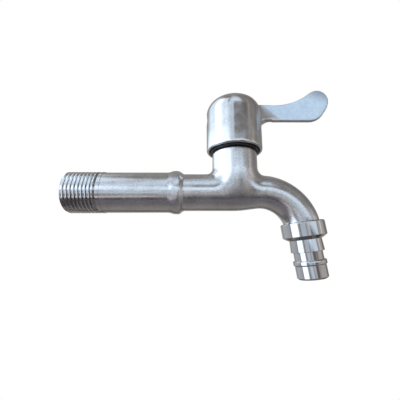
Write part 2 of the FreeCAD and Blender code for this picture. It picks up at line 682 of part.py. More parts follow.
def spindle():
    """Turned stem with ring grooves, drive plate, tang, stop notch and square top."""
    body = part_body("spindle")
    profile = sketch_on(body, "spindle_profile", "XZ_Plane", x="neck_x")
    path(profile, [
        ("0", PLATE_LOW),
        ("disc_radius", PLATE_LOW),
        ("disc_radius", PLATE_HIGH),
        ("stem_radius", PLATE_HIGH),
        *groove_corners("low_groove"),
        *groove_corners("high_groove"),
        ("stem_radius", CLIP_LOW),
        (CLIP_GROOVE, CLIP_LOW),
        (CLIP_GROOVE, CLIP_HIGH),
        ("stem_radius", CLIP_HIGH),
        ("stem_radius", "stem_top - stem_chamfer"),
        ("stem_radius - stem_chamfer", "stem_top"),
        ("0", "stem_top"),
    ])
    turned(body, "stem", profile)
    flats = sketch_on(body, "square_outline", "XY_Plane", x="neck_x", out="square_bottom")
    half = "square_width / 2"
    rectangle(flats, f"0 - {half}", half, f"0 - {half}", half)
    circle(flats, "stem_radius + cut_over")
    padded(body, "square", flats, "stem_top - square_bottom + cut_over", cut=True, reverse=True)
    bar = sketch_on(body, "tang_outline", "XY_Plane", x="neck_x", out=PLATE_LOW)
    half = "tang_width / 2"
    rectangle(bar, "0 - tang_half_length", "tang_half_length", f"0 - {half}", half)
    padded(body, "tang", bar, "tang_height", reverse=True)
    notch = sketch_on(body, "notch_outline", "XY_Plane", x="neck_x", out=f"{PLATE_HIGH} + disc_gap")
    first = "notch_middle - notch_half_angle"
    last = "notch_middle + notch_half_angle"
    sector(notch, "disc_radius - notch_depth", "disc_radius + cut_over", first, last)
    padded(body, "stop_notch", notch, "plate_height + 2 * disc_gap", cut=True)
    return body


def moving_disc():
    """Ceramic disc that the tang turns; its two open notches carry the water out."""
    body = ring_about_spindle("moving_disc", "0", "disc_radius", MOVING_LOW, MOVING_HIGH)
    slot = sketch_on(body, "slot_outline", "XY_Plane", x="neck_x", out=MOVING_HIGH)
    reach = "tang_half_length + tang_clearance"
    half = "tang_width / 2 + tang_clearance"
    rectangle(slot, f"0 - ({reach})", reach, f"0 - ({half})", half)
    padded(body, "tang_slot", slot, "tang_height + tang_clearance", cut=True)
    for name, middle in (("back", "90"), ("front", "270")):
        opening = sketch_on(body, f"{name}_notch_outline", "XY_Plane", x="neck_x", out=MOVING_HIGH)
        first = f"{middle} - port_half_angle"
        last = f"{middle} + port_half_angle"
        sector(opening, "port_inner", "disc_radius + cut_over", first, last)
        padded(body, f"{name}_notch", opening, "moving_disc_height", cut=True)
    return body


def fixed_disc():
    """Ceramic disc held by two ears in the housing's slots, with two ports."""
    body = ring_about_spindle("fixed_disc", "0", "disc_radius", FIXED_LOW, FIXED_HIGH)
    ears = sketch_on(body, "ear_outline", "XY_Plane", x="neck_x", out=FIXED_LOW)
    rectangle(ears, "0 - ear_half", "ear_half", "0 - disc_radius - ear_reach", "disc_radius + ear_reach")
    padded(body, "ears", ears, "fixed_disc_height")
    for name, middle in (("outlet", "0"), ("inlet", "180")):
        opening = sketch_on(body, f"{name}_port_outline", "XY_Plane", x="neck_x", out=FIXED_HIGH)
        first = f"{middle} - port_half_angle"
        last = f"{middle} + port_half_angle"
        sector(opening, "port_inner", "port_outer", first, last)
        padded(body, f"{name}_port", opening, "fixed_disc_height", cut=True)
    return body


def seat_seal():
    """Rubber ring between the seat wall and the fixed disc."""
    return ring_about_spindle("seat_seal", SEAL_BORE, "disc_radius", "seat_top", FIXED_LOW)


def seal_support_ring():
    """Hard ring that keeps the seat seal from being drawn inwards."""
    outer = f"{SEAL_BORE} - disc_gap"
    high = f"{FIXED_LOW} - disc_gap"
    return ring_about_spindle("seal_support_ring", f"{outer} - support_wall", outer, "seat_top", high)


def glide_ring():
    """Slippery washer between the drive plate and the housing's shoulder."""
    high = f"{GLIDE_LOW} + glide_thickness"
    return ring_about_spindle("glide_ring", "stem_radius + glide_room", "disc_radius", GLIDE_LOW, high)


def thrust_washer():
    """Brass washer on the stem guide, under the circlip."""
    outer = f"{GUIDE_RADIUS} - washer_step"
    return ring_about_spindle("thrust_washer", GUIDE_BORE, outer, "guide_top", CLIP_LOW)


def spindle_circlip():
    """Open spring ring in the stem's groove."""
    body = part_body("spindle_circlip")
    profile = sketch_on(body, "circlip_profile", "XZ_Plane", x="neck_x")
    low = f"{CLIP_LOW} + circlip_slack"
    inner = f"{CLIP_GROOVE} + close_fit"
    rectangle(profile, inner, "stem_radius + circlip_reach", low, f"{low} + circlip_thickness")
    turned(body, "circlip", profile, angle="360 - circlip_mouth")
    return body


def skirt_ring():
    """Black plastic ring round the flange; it closes the gap under the handle's skirt."""
    body = part_body("skirt_ring")
    profile = sketch_on(body, "skirt_ring_profile", "XZ_Plane", x="neck_x")
    path(profile, [
        ("flange_radius + ring_lift", "neck_top + ring_lift"),
        (RING_RADIUS, "neck_top + ring_lift"),
        (RING_RADIUS, "ring_top"),
        ("hexagon_radius + close_fit", "ring_top"),
        ("hexagon_radius + close_fit", f"{FLANGE_TOP} + ring_lift"),
        ("flange_radius + ring_lift", f"{FLANGE_TOP} + ring_lift"),
    ])
    turned(body, "ring", profile)
    return body


def lever_plate(body):
    """The upright fin, cut to its outline and with its edges rounded."""
    side = sketch_on(body, "lever_outline", "XZ_Plane", x="neck_x")
    path(side, [
        ("lever_start", "lever_bottom"),
        ("lever_sole_x", "lever_bottom", "lever_heel_arc", 1),
        ("lever_heel_x", "lever_heel_z", "lever_tip_arc", 1),
        ("lever_tip_x", "lever_tip_z", "lever_crown_out", 1),
        ("lever_crown_x", "lever_crown", "lever_crown_in", 1),
        ("lever_neck_x", "lever_neck_top", "lever_hollow", -1),
        ("lever_waist_x", "lever_waist_top"),
        ("lever_start", "lever_root_top"),
    ])
    plate = padded(body, "lever", side, "lever_thickness", both_sides=True)
    half = number("lever_thickness") / 2
    limit = number("neck_x + lever_start") + 0.01
    rounded(body, "lever_edges", plate, lambda e: (
        abs(abs(e.BoundBox.YMin) - half) < 0.001
        and e.BoundBox.YLength < 0.001
        and e.BoundBox.XMax > limit
    ), "lever_edge")


def root_section(body, name, height, width, end):
    """Plan of the lever's flared root at one height, from inside the dome into the fin."""
    plan = sketch_on(body, name, "XY_Plane", x="neck_x", out=height)
    path(plan, [
        ("lever_start", f"0 - {width}"),
        (end, "0 - lever_thickness / 4"),
        (end, "lever_thickness / 4"),
        ("lever_start", width),
    ])
    return plan


def lever_gusset(body):
    """Rounded corner under the fin's root."""
    side = sketch_on(body, "gusset_outline", "XZ_Plane", x="neck_x")
    path(side, [
        (f"{SKIRT_RADIUS} - cut_over", "lever_bottom + cut_over"),
        (f"{SKIRT_RADIUS} - cut_over", "lever_bottom - lever_under_blend"),
        (SKIRT_RADIUS, "lever_bottom - lever_under_blend", "lever_under_blend", -1),
        (f"{SKIRT_RADIUS} + lever_under_blend", "lever_bottom"),
        (f"{SKIRT_RADIUS} + lever_under_blend", "lever_bottom + cut_over"),
    ])
    padded(body, "gusset", side, "root_low_half + lever_thickness / 2", both_sides=True)


def handle_outside(body):
    """Fin, flared root and domed cap."""
    lever_plate(body)
    lever_gusset(body)
    low = root_section(body, "root_low_plan", "lever_bottom", "root_low_half", "root_low_end")
    high = root_section(body, "root_high_plan", "lever_waist_top", "root_high_half", "root_high_end")
    root = body.newObject("PartDesign::AdditiveLoft", "flared_root")
    root.Profile = low
    root.Sections = [high]
    root.Ruled = True
    inset = f"({SKIRT_RADIUS} - dome_shoulder)"
    spare = "(dome_top - dome_start - dome_shoulder)"
    drop = f"(({inset} ^ 2 - {spare} ^ 2) / (2 * {spare}))"
    crown = f"(dome_shoulder + {spare} + {drop})"
    cap = sketch_on(body, "cap_profile", "XZ_Plane", x="neck_x")
    path(cap, [
        ("0", "skirt_bottom"),
        (f"{SKIRT_RADIUS} - skirt_edge", "skirt_bottom", "skirt_edge", 1),
        (SKIRT_RADIUS, "skirt_bottom + skirt_edge"),
        (SKIRT_RADIUS, "dome_start", "dome_shoulder", 1),
        (
            f"{crown} * {inset} / ({spare} + {drop})",
            f"dome_start - {drop} + {crown} * {drop} / ({spare} + {drop})",
            crown,
            1,
        ),
        ("0", "dome_top"),
    ])
    turned(body, "cap", cap)


def handle_inside(body):
    """Hollow, hub with its square socket, and the boss and hole of the grub screw."""
    hollow = sketch_on(body, "hollow_profile", "XZ_Plane", x="neck_x")
    path(hollow, [
        ("0", "skirt_bottom - cut_over"),
        (RIM_BORE, "skirt_bottom - cut_over"),
        (RIM_BORE, "cavity_step"),
        (CAVITY_RADIUS, "cavity_step"),
        (CAVITY_RADIUS, "cavity_shoulder"),
        ("cavity_top_radius", "cavity_top"),
        ("hub_radius", "cavity_top"),
        ("hub_radius", "hub_bottom"),
        ("0", "hub_bottom"),
    ])
    turned(body, "hollow", hollow, cut=True)
    boss = sketch_on(body, "boss_section", "YZ_Plane", y="screw_height", out="neck_x - hub_radius + cut_over")
    circle(boss, "boss_radius")
    padded(body, "boss", boss, f"{CAVITY_RADIUS} - hub_radius + 2 * cut_over", reverse=True)
    socket = sketch_on(body, "socket_outline", "XY_Plane", x="neck_x", out="hub_bottom - cut_over")
    half = "square_width / 2 + square_clearance"
    rectangle(socket, f"0 - ({half})", half, f"0 - ({half})", half)
    depth = "stem_top + socket_spare - hub_bottom + cut_over"
    padded(body, "socket", socket, depth, cut=True, reverse=True)
    start = f"neck_x - ({SKIRT_RADIUS}) - cut_over"
    hole = sketch_on(body, "screw_hole_section", "YZ_Plane", y="screw_height", out=start)
    circle(hole, "screw_radius + close_fit")
    padded(body, "screw_hole", hole, f"{SKIRT_RADIUS} + cut_over", cut=True, reverse=True)


def handle():
    """Investment casting: domed cap and fin lever in one, on the spindle's square."""
    body = part_body("handle")
    handle_outside(body)
    handle_inside(body)
    return body


def grub_screw():
    """Set screw with a hexagon socket, tight against the spindle's square."""
    body = part_body("grub_screw")
    tip = "neck_x - square_width / 2 - disc_gap"
    section = sketch_on(body, "screw_section", "YZ_Plane", y="screw_height", out=tip)
    circle(section, "screw_radius")
    padded(body, "screw", section, SCREW_LENGTH, reverse=True)
    end = f"{tip} - ({SCREW_LENGTH})"
    key = sketch_on(body, "key_outline", "YZ_Plane", y="screw_height", out=end)
    path(key, [
        (f"screw_key / cos(30) * cos({60 * index})", f"screw_key / cos(30) * sin({60 * index})")
        for index in range(6)
    ])
    padded(body, "key_socket", key, "screw_key_depth", cut=True, reverse=True)
    return body


PIECES = [
    inlet_extension(),
    weld_bead(),
    tap_body(),
    hose_nipple(),
    nipple_gasket(),
    cartridge_housing(),
    housing_o_ring(),
    spindle(),
    spindle_o_rings(),
    glide_ring(),
    thrust_washer(),
    spindle_circlip(),
    moving_disc(),
    fixed_disc(),
    seat_seal(),
    seal_support_ring(),
    skirt_ring(),
    handle(),
    grub_screw(),
]
doc.recompute()

faults = [item.Name for item in doc.Objects if {"Invalid", "Error"} & set(item.State)]
for piece in PIECES:
    if piece.Shape.isNull() or not piece.Shape.isValid() or not piece.Shape.Solids:
        faults.append(piece.Label)
if faults:
    raise RuntimeError(f"these did not come out: {sorted(set(faults))}")

os.makedirs("parts", exist_ok=True)
for piece in PIECES:
    piece.Shape.exportStep(f"parts/{piece.Label}.step")
    print(piece.Label, round(piece.Shape.Volume, 1), "mm3")
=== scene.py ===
from math import cos, pi, radians

import bmesh
import bpy
from mathutils import Matrix, Vector, noise


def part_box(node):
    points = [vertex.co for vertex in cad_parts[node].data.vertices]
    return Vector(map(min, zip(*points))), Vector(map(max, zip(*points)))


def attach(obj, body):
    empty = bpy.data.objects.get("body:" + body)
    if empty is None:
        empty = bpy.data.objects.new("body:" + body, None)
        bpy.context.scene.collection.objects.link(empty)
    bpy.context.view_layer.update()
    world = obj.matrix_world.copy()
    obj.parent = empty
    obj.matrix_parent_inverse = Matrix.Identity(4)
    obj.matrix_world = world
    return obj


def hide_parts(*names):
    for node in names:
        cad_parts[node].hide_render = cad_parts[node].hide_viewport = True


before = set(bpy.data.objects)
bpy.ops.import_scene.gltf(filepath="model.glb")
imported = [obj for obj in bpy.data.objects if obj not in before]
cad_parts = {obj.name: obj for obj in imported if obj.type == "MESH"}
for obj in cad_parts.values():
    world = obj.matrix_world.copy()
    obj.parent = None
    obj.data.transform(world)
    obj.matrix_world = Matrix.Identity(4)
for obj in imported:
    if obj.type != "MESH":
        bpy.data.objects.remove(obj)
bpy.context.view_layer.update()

# Extension tube: drawn stainless tube, finely brushed, with the G1/2 thread cut on its wall end.
# It is the CAD solid. The brushing runs round it, and handling has dulled it in soft patches.

steel_tint = (0.63, 0.62, 0.61)
steel_depth = 0.000012


class Socket:
    """One output of a node; sums and products of these add Math nodes."""

    def __init__(self, tree, socket):
        self.tree = tree
        self.socket = socket

    def node(self, kind, settings, inputs, output=0):
        """A new node beside this one: its type, its settings, then its sockets' values or links."""
        made = self.tree.nodes.new(f"ShaderNode{kind}")
        for name, value in settings.items():
            setattr(made, name, value)
        for name, value in inputs.items():
            if isinstance(value, Socket):
                self.tree.links.new(value.socket, made.inputs[name])
            else:
                made.inputs[name].default_value = value
        return Socket(self.tree, made.outputs[output])

    def maths(self, operation, *values):
        """A Math node on the given values, which are numbers or other outputs."""
        return self.node("Math", {"operation": operation}, dict(enumerate(values)))

    def __add__(self, other):
        return self.maths("ADD", self, other)

    def __radd__(self, other):
        return self.maths("ADD", other, self)

    def __sub__(self, other):
        return self.maths("SUBTRACT", self, other)

    def __rsub__(self, other):
        return self.maths("SUBTRACT", other, self)

    def __mul__(self, other):
        return self.maths("MULTIPLY", self, other)

    def __rmul__(self, other):
        return self.maths("MULTIPLY", other, self)

    def between(self, low, high, start=0.0, end=1.0):
        """Start below the low value, end above the high one, and an even curve between them."""
        settings = {"interpolation_type": "SMOOTHSTEP"}
        inputs = {"Value": self, 1: low, 2: high, 3: start, 4: end}
        return self.node("MapRange", settings, inputs)

    def grain(self, scale, detail, stretch=(1, 1, 1)):
        """Noise on this position, drawn out along the axes with a small stretch."""
        drawn = self.node("Mapping", {}, {"Vector": self, "Scale": stretch})
        return self.node("TexNoise", {}, {"Vector": drawn, "Scale": scale, "Detail": detail})

    def tinted(self, low, high):
        """The colour between two, mixed by this value."""
        ends = [end if isinstance(end, Socket) else (*end, 1) for end in (low, high)]
        return self.node("Mix", {"data_type": "RGBA"}, {0: self, 6: ends[0], 7: ends[1]}, output=2)


def finish(name, **constants):
    """A new material: its place on the object and its main shader, with the steady values set."""
    material = bpy.data.materials.new(name)
    material.use_nodes = True
    shader = material.node_tree.nodes["Principled BSDF"]
    for label, value in constants.items():
        shader.inputs[label.replace("_", " ")].default_value = value
    place = Socket(material.node_tree, None).node("TexCoord", {}, {}, output="Object")
    return material, place, shader


def feed(shader, bump, depth, **links):
    """Link what varies into the shader, and the bump into its normal."""
    tree = shader.id_data
    for label, value in links.items():
        tree.links.new(value.socket, shader.inputs[label.replace("_", " ")])
    inputs = {"Height": bump, "Distance": depth, "Strength": 1.0}
    tree.links.new(bump.node("Bump", {}, inputs).socket, shader.inputs["Normal"])


def satin_steel(name, rough, tint=steel_tint, polished=None):
    """Satin stainless steel: fine sparkling grain over faint waves, with soft dull patches."""
    material, place, shader = finish(name, Metallic=1.0)
    grain = place.grain(1700, 2, (0.7, 1, 1))
    dust = place.grain(4300, 1)
    waves = place.grain(95, 1)
    patches = place.grain(130, 4)
    texture = grain + dust * 0.25
    dull = patches.between(0.35, 0.7, rough[0], rough[1]) + grain * 0.05
    if polished:
        mask = polished(place)
        texture = texture * (1 - mask * 0.8)
        dull = dull * (1 - mask * 0.4)
    pale = (grain * 0.6 + patches * 0.4).between(0.25, 0.75)
    darkest = [0.8 * part for part in tint]
    palest = [share * part for share, part in zip((1.14, 1.17, 1.21), tint)]
    feed(
        shader,
        texture + waves * 2.4,
        steel_depth,
        Base_Color=pale.tinted(darkest, palest),
        Roughness=dull,
    )
    return material


def along(place, axis):
    """One coordinate of the place on the object."""
    return place.node("SeparateXYZ", {}, {"Vector": place}, output=axis)


def dress(node, material):
    """Give a CAD solid its finish."""
    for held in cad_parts[node].material_slots:
        held.material = material


def threaded(place):
    """The thread and its land, which the tool leaves brighter than the tube."""
    return along(place, "X").between(-0.0005, 0.0005, 1, 0)


dress("inlet_extension", satin_steel("drawn_tube_steel", (0.13, 0.22), polished=threaded))

# Body: investment casting in stainless steel, ground and brushed after casting.
# The seam between neck, run and spout is blended by hand, so the skin flows from one into the other.

voxel = 0.00038
neck_x = 0.066
neck_radius = 0.01155
run_radius = 0.0094
bowl_top = 0.0035
bowl_arc = 0.0075
neck_blend = 0.0032
# the inner skins lie closer to the axes than these walls, and only the last round reaches them
run_wall = 0.0079
taper_wall = 0.0078
bowl_wall = 0.0065
neck_wall = 0.0096
taper_end = 0.082
taper_top = 0.0095
front_depth = 0.0045
front_neck = 0.0028
mouth_start = 0.08
mouth_length = 0.0012
spout_end = Vector((0.0987, 0, -0.01515))
spout_way = Vector((0.1305, 0, -0.9914))


def even_skin(name, node, size, body):
    """A copy of a CAD solid as one skin of even squares, which can be worked like a casting."""
    merged = bmesh.new()
    merged.from_mesh(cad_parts[node].data)
    bmesh.ops.remove_doubles(merged, verts=merged.verts, dist=1e-6)
    mesh = bpy.data.meshes.new(name)
    merged.to_mesh(mesh)
    merged.free()
    piece = bpy.data.objects.new(name, mesh)
    bpy.context.scene.collection.objects.link(piece)
    remesh = piece.modifiers.new("even", "REMESH")
    remesh.mode = "VOXEL"
    remesh.voxel_size = size
    remesh.use_smooth_shade = True
    seen = piece.evaluated_get(bpy.context.evaluated_depsgraph_get())
    piece.data = bpy.data.meshes.new_from_object(seen)
    piece.modifiers.clear()
    bpy.data.meshes.remove(mesh)
    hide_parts(node)
    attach(piece, body)
    return piece


def smoothed(mesh, rounds):
    """Grind a mesh: each round is a test of a point's place and a number of passes."""
    worked = bmesh.new()
    worked.from_mesh(mesh)
    for within, passes in rounds:
        points = [point for point in worked.verts if within(point.co)]
        for _ in range(passes):
            axes = {"use_axis_x": True, "use_axis_y": True, "use_axis_z": True}
            bmesh.ops.smooth_vert(worked, verts=points, factor=0.5, **axes)
    bmesh.ops.recalc_face_normals(worked, faces=worked.faces)
    for face in worked.faces:
        face.smooth = True
    worked.to_mesh(mesh)
    worked.free()


def neck_gap(place):
    """How far a place is from the neck's outside, or from its bowl lower down."""
    reach = Vector((place.x - neck_x, place.y, 0)).length
    if place.z > bowl_top:
        return abs(reach - neck_radius)
    middle = Vector((neck_radius - bowl_arc, bowl_top))
    return abs((Vector((reach, place.z)) - middle).length - bowl_arc)


def run_gap(place):
    """How far a place is from the outside of the run."""
    return abs(Vector((place.y, place.z)).length - run_radius)


def at_seam(width):
    """A test for the outside of the body near the seam between neck and run."""
    return lambda place: (
        neck_gap(place) < width
        and run_gap(place) < width
        and Vector((place.y, place.z)).length > run_wall
        and Vector((place.x - neck_x, place.y)).length > bowl_wall
    )


def at_taper(place):
    """Is this the outside of the taper and the start of the spout?"""
    outside = Vector((place.y, place.z)).length > taper_wall
    return neck_x < place.x < taper_end and outside and place.z < taper_top


def at_front(half, low, high):
    """A test for the outside of the tee's front and back, where the neck draws in to the run."""
    def within(place):
        if abs(place.x - neck_x) > half or not low < place.z < high or abs(place.y) < front_depth:
            return False
        if place.z > front_neck:
            return Vector((place.x - neck_x, place.y)).length > neck_wall
        return Vector((place.y, place.z)).length > run_wall
    return within


def at_mouth(place):
    """Is this the end of the spout, which stands in the nipple's collar?"""
    return place.x > mouth_start and (place - spout_end).dot(spout_way) > -mouth_length


casting = even_skin("body_casting", "tap_body", voxel, "tap")
smoothed(casting.data, [
    (at_taper, 40),
    (at_seam(neck_blend), 160),
    (at_seam(neck_blend * 0.65), 160),
    (at_front(half=0.0105, low=-0.0075, high=0.0075), 130),
    (at_front(half=0.0125, low=-0.0085, high=0.0095), 50),
    (at_seam(neck_blend * 1.2), 25),
    (at_mouth, 40),
    (lambda place: True, 12),
])
casting.data.materials.clear()
casting.data.materials.append(satin_steel("cast_body_steel", (0.16, 0.25)))

# Weld bead: the joint of tube and body, welded all round and then polished, so it is smooth but uneven.
# It runs further out over the tube than over the body and is worn flatter in front. Its height and its
# middle wander a little on the way round.

bead_low, bead_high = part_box("weld_bead")
bead_reach = 0.0022
bead_lap = 0.0003
bead_start = bead_low.x - bead_reach
bead_end = bead_high.x + bead_lap
# shares of the bead's length where the climb ends and the fall begins, and how long it falls
bead_up = 0.5
bead_down = 0.62
bead_fall = 0.36
bead_hollow = 1.7
bead_worn = 0.56
bead_crest = bead_high.z - 0.0001
fine_wander = 0.0001
broad_wander = 0.0003
side_wander = 0.0007
tube_foot = 0.0102
run_foot = 0.00935
bead_root = 0.0088
bead_turns = 150
bead_steps = 34


def welded_ring():
    """The bead's section climbs from the tube, runs flat and falls to the body, spun round the axis."""
    ring = bmesh.new()
    points = [ring.verts.new((bead_start, 0, bead_root))]
    for step in range(bead_steps + 1):
        share = step / bead_steps
        foot = tube_foot if share < bead_up else run_foot
        climb = min(1, share / bead_up)
        fall = min(1, max(0, share - bead_down) / bead_fall)
        rise = (0.5 - 0.5 * cos(pi * climb)) ** bead_hollow * (0.5 + 0.5 * cos(pi * fall))
        height = foot + (bead_crest - foot) * rise
        points.append(ring.verts.new((bead_start + share * (bead_end - bead_start), 0, height)))
    points.append(ring.verts.new((bead_end, 0, bead_root)))
    edges = [ring.edges.new(pair) for pair in zip(points, points[1:] + points[:1])]
    bmesh.ops.spin(
        ring, geom=points + edges, cent=(0, 0, 0), axis=(1, 0, 0), dvec=(0, 0, 0),
        angle=2 * pi, steps=bead_turns, use_merge=True, use_duplicate=False,
    )
    bmesh.ops.remove_doubles(ring, verts=ring.verts, dist=1e-6)
    for point in ring.verts:
        radius = Vector((point.co.y, point.co.z)).length
        proud = max(0, radius - tube_foot)
        rise = proud / (bead_crest - tube_foot)
        worn = bead_worn * max(0, -point.co.y / radius) ** 2
        wander = noise.noise(point.co * 260) * fine_wander + noise.noise(point.co * 100) * broad_wander
        grown = 1 + (wander * rise - worn * proud) / radius
        point.co.y *= grown
        point.co.z *= grown
        place = Vector((1, point.co.y * 170, point.co.z * 170))
        point.co.x += noise.noise(place) * side_wander * rise
    bmesh.ops.recalc_face_normals(ring, faces=ring.faces)
    for face in ring.faces:
        face.smooth = True
    mesh = bpy.data.meshes.new("weld_ring")
    ring.to_mesh(mesh)
    ring.free()
    mesh.set_sharp_from_angle(angle=radians(50))
    return mesh


weld = bpy.data.objects.new("weld_ring", welded_ring())
bpy.context.scene.collection.objects.link(weld)
weld.data.materials.append(satin_steel("polished_weld_steel", (0.15, 0.26)))
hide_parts("weld_bead")
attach(weld, "tap")

# Hose nipple: turned from bar on a lathe and polished, so it mirrors the room in sharp bands.
# Its collar screws over the spout's end; the bead and nose below take the push-on hose connector.

tilt = radians(7.5)
nipple_top = Vector((0.0987262, 0, -0.0151455))
nipple_turns = 160
# radius and depth below the collar's top, in millimetres, from the collar's mouth round to the bore
nipple_corners = [
    (8.25, 2.2), (8.95, 2.2), (8.95, 0.0), (9.95, 0.0), (10.45, 0.5), (10.45, 6.9), (8.05, 8.45),
    (7.55, 8.45), (7.85, 14.3), (6.8, 14.3), (6.8, 18.4), (7.75, 18.4), (7.75, 20.6), (7.2, 20.6),
    (7.2, 26.4), (6.5, 27.1), (5.2, 27.1), (5.2, 7.3), (8.25, 7.3),
]
nipple_edge = 0.00016
bead_radius = 0.00775
bead_edge = 0.00042
bead_margin = 0.00002
sharp_turn = radians(20)
nipple_depth = 0.000003


def turned_ring(name, corners, turns):
    """A turned piece about the Z axis from its closed profile, its corners broken."""
    ring = bmesh.new()
    points = [ring.verts.new((radius / 1000, 0, -depth / 1000)) for radius, depth in corners]
    edges = [ring.edges.new(pair) for pair in zip(points, points[1:] + points[:1])]
    bmesh.ops.spin(
        ring, geom=points + edges, cent=(0, 0, 0), axis=(0, 0, 1), dvec=(0, 0, 0),
        angle=2 * pi, steps=turns, use_merge=True, use_duplicate=False,
    )
    bmesh.ops.remove_doubles(ring, verts=ring.verts, dist=1e-7)
    bmesh.ops.recalc_face_normals(ring, faces=ring.faces)
    sharp = [side for side in ring.edges if side.calc_face_angle(0) > sharp_turn]
    bead = [side for side in sharp if abs(side.verts[0].co.xy.length - bead_radius) < bead_margin]
    others = [side for side in sharp if side not in bead]
    for sides, offset in ((bead, bead_edge), (others, nipple_edge)):
        bmesh.ops.bevel(
            ring, geom=sides, offset=offset, offset_type="OFFSET", affect="EDGES",
            segments=3, profile=0.5, material=-1,
        )
    for face in ring.faces:
        face.smooth = True
    mesh = bpy.data.meshes.new(name)
    ring.to_mesh(mesh)
    ring.free()
    return mesh


def turned_steel():
    """Polished steel with the faintest tool marks round the axis, dulled in a few places."""
    material, place, shader = finish("turned_nipple_steel", Metallic=1.0)
    marks = place.grain(9000, 1, (0.05, 0.05, 1))
    patches = place.grain(210, 3)
    feed(
        shader,
        marks,
        nipple_depth,
        Base_Color=patches.tinted((0.49, 0.49, 0.49), (0.58, 0.58, 0.59)),
        Roughness=patches.between(0.4, 0.75, 0.04, 0.12),
    )
    return material


nipple_mesh = turned_ring("turned_nipple", nipple_corners, nipple_turns)
nipple = bpy.data.objects.new("turned_nipple", nipple_mesh)
bpy.context.scene.collection.objects.link(nipple)
nipple.data.transform(Matrix.Translation(nipple_top) @ Matrix.Rotation(-tilt, 4, "Y"))
nipple.data.materials.append(turned_steel())
shine = nipple.modifiers.new("even_shine", "WEIGHTED_NORMAL")
shine.weight = 100
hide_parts("hose_nipple")
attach(nipple, "tap")

# Rubber: the nipple's flat washer, the seat's seal and the rings on the headwork and the stem.
# They are moulded, matt and almost black, and only show when the tap is taken apart.


def moulded(name, low, high, rough, depth=0.00002, scale=1500):
    """A matt moulded finish between two close colours."""
    material, place, shader = finish(name)
    skin = place.grain(scale, 3)
    cloud = place.grain(scale / 12, 2)
    feed(
        shader,
        skin,
        depth,
        Base_Color=(skin * 0.4 + cloud * 0.6).tinted(low, high),
        Roughness=cloud.between(0.3, 0.7, rough - 0.08, rough + 0.08),
    )
    return material


rubber = moulded("black_rubber", (0.012, 0.012, 0.012), (0.035, 0.034, 0.033), 0.62)
for ring in ("nipple_gasket", "housing_o_ring", "spindle_o_rings", "seat_seal"):
    dress(ring, rubber)

# Headwork: turned brass housing, spindle and thrust washer, with slippery white plastic rings.
# It is screwed down into the neck, and the handle sits on the spindle's square.

brass_depth = 0.00001


def turned_brass():
    """Turned brass with its tool marks round the axis and a few dull places."""
    material, place, shader = finish("turned_brass", Metallic=1.0)
    marks = place.grain(6000, 2, (0.08, 0.08, 1))
    patches = place.grain(160, 3)
    feed(
        shader,
        marks,
        brass_depth,
        Base_Color=patches.tinted((0.62, 0.44, 0.18), (0.8, 0.62, 0.32)),
        Roughness=patches.between(0.3, 0.7, 0.18, 0.34),
    )
    return material


brass = turned_brass()
for part in ("cartridge_housing", "spindle", "thrust_washer"):
    dress(part, brass)
white_plastic = moulded("white_slide_plastic", (0.7, 0.69, 0.65), (0.82, 0.81, 0.77), 0.4)
for part in ("glide_ring", "seal_support_ring"):
    dress(part, white_plastic)

# Discs: two lapped ceramic discs that open and shut the water way, and the dark spring ring
# and screw that hold the stem and the handle.

ceramic = moulded("lapped_ceramic", (0.78, 0.76, 0.71), (0.88, 0.87, 0.83), 0.3, depth=0.000004)
for part in ("moving_disc", "fixed_disc"):
    dress(part, ceramic)
spring = satin_steel("dark_spring_steel", (0.3, 0.42), tint=(0.2, 0.2, 0.21))
for part in ("spindle_circlip", "grub_screw"):
    dress(part, spring)

# Black ring: moulded plastic, pushed over the headwork's flange. It fills the gap between the neck
# and the handle's skirt, and stays still when the handle turns.

black_plastic = moulded(
    "black_ring_plastic", (0.008, 0.008, 0.01), (0.022, 0.022, 0.026), 0.42, scale=2200,
)
dress("skirt_ring", black_plastic)

# Handle: cap and upright fin cast in one piece of stainless steel and satin polished.
# The cap is smooth and brushed round, and the fin's flat sides keep a duller, mottled cast skin, with a
# painted pale blue reflection on them and painted shade at the tip.

handle_voxel = 0.00036
handle_depth = 0.000009
fin_slant = 1.144
fin_start = 0.1358
fin_end = 0.1378
fin_half = 0.00125
# the painted shade at the fin's tip: its colour, and the slant and heights over which the fin darkens
# towards it
fin_tip_painted_shade = (0.4, 0.45, 0.5)
tip_shade_slant = 0.3
tip_shade_start = 0.0825
tip_shade_end = 0.0915
root_start = 0.0745
root_end = 0.0775
root_half = 0.0105
root_inner = 0.0012
root_foot = 0.0375
root_reach = 0.029
corner_low = 0.0325
corner_high = 0.0408
corner_reach = 0.021


def near_root(place):
    """Is this the flared seam between the cap's outside and the sides of the fin?"""
    reach = Vector((place.x - neck_x, place.y)).length
    beside = place.x > root_start and root_inner < abs(place.y) < root_half
    return beside and place.z > root_foot and reach < root_reach


def under_root(place):
    """Is this the corner under the fin, where it springs from the cap?"""
    reach = Vector((place.x - neck_x, place.y)).length
    below = place.x > root_start and abs(place.y) < root_half
    return below and corner_low < place.z < corner_high and reach < corner_reach


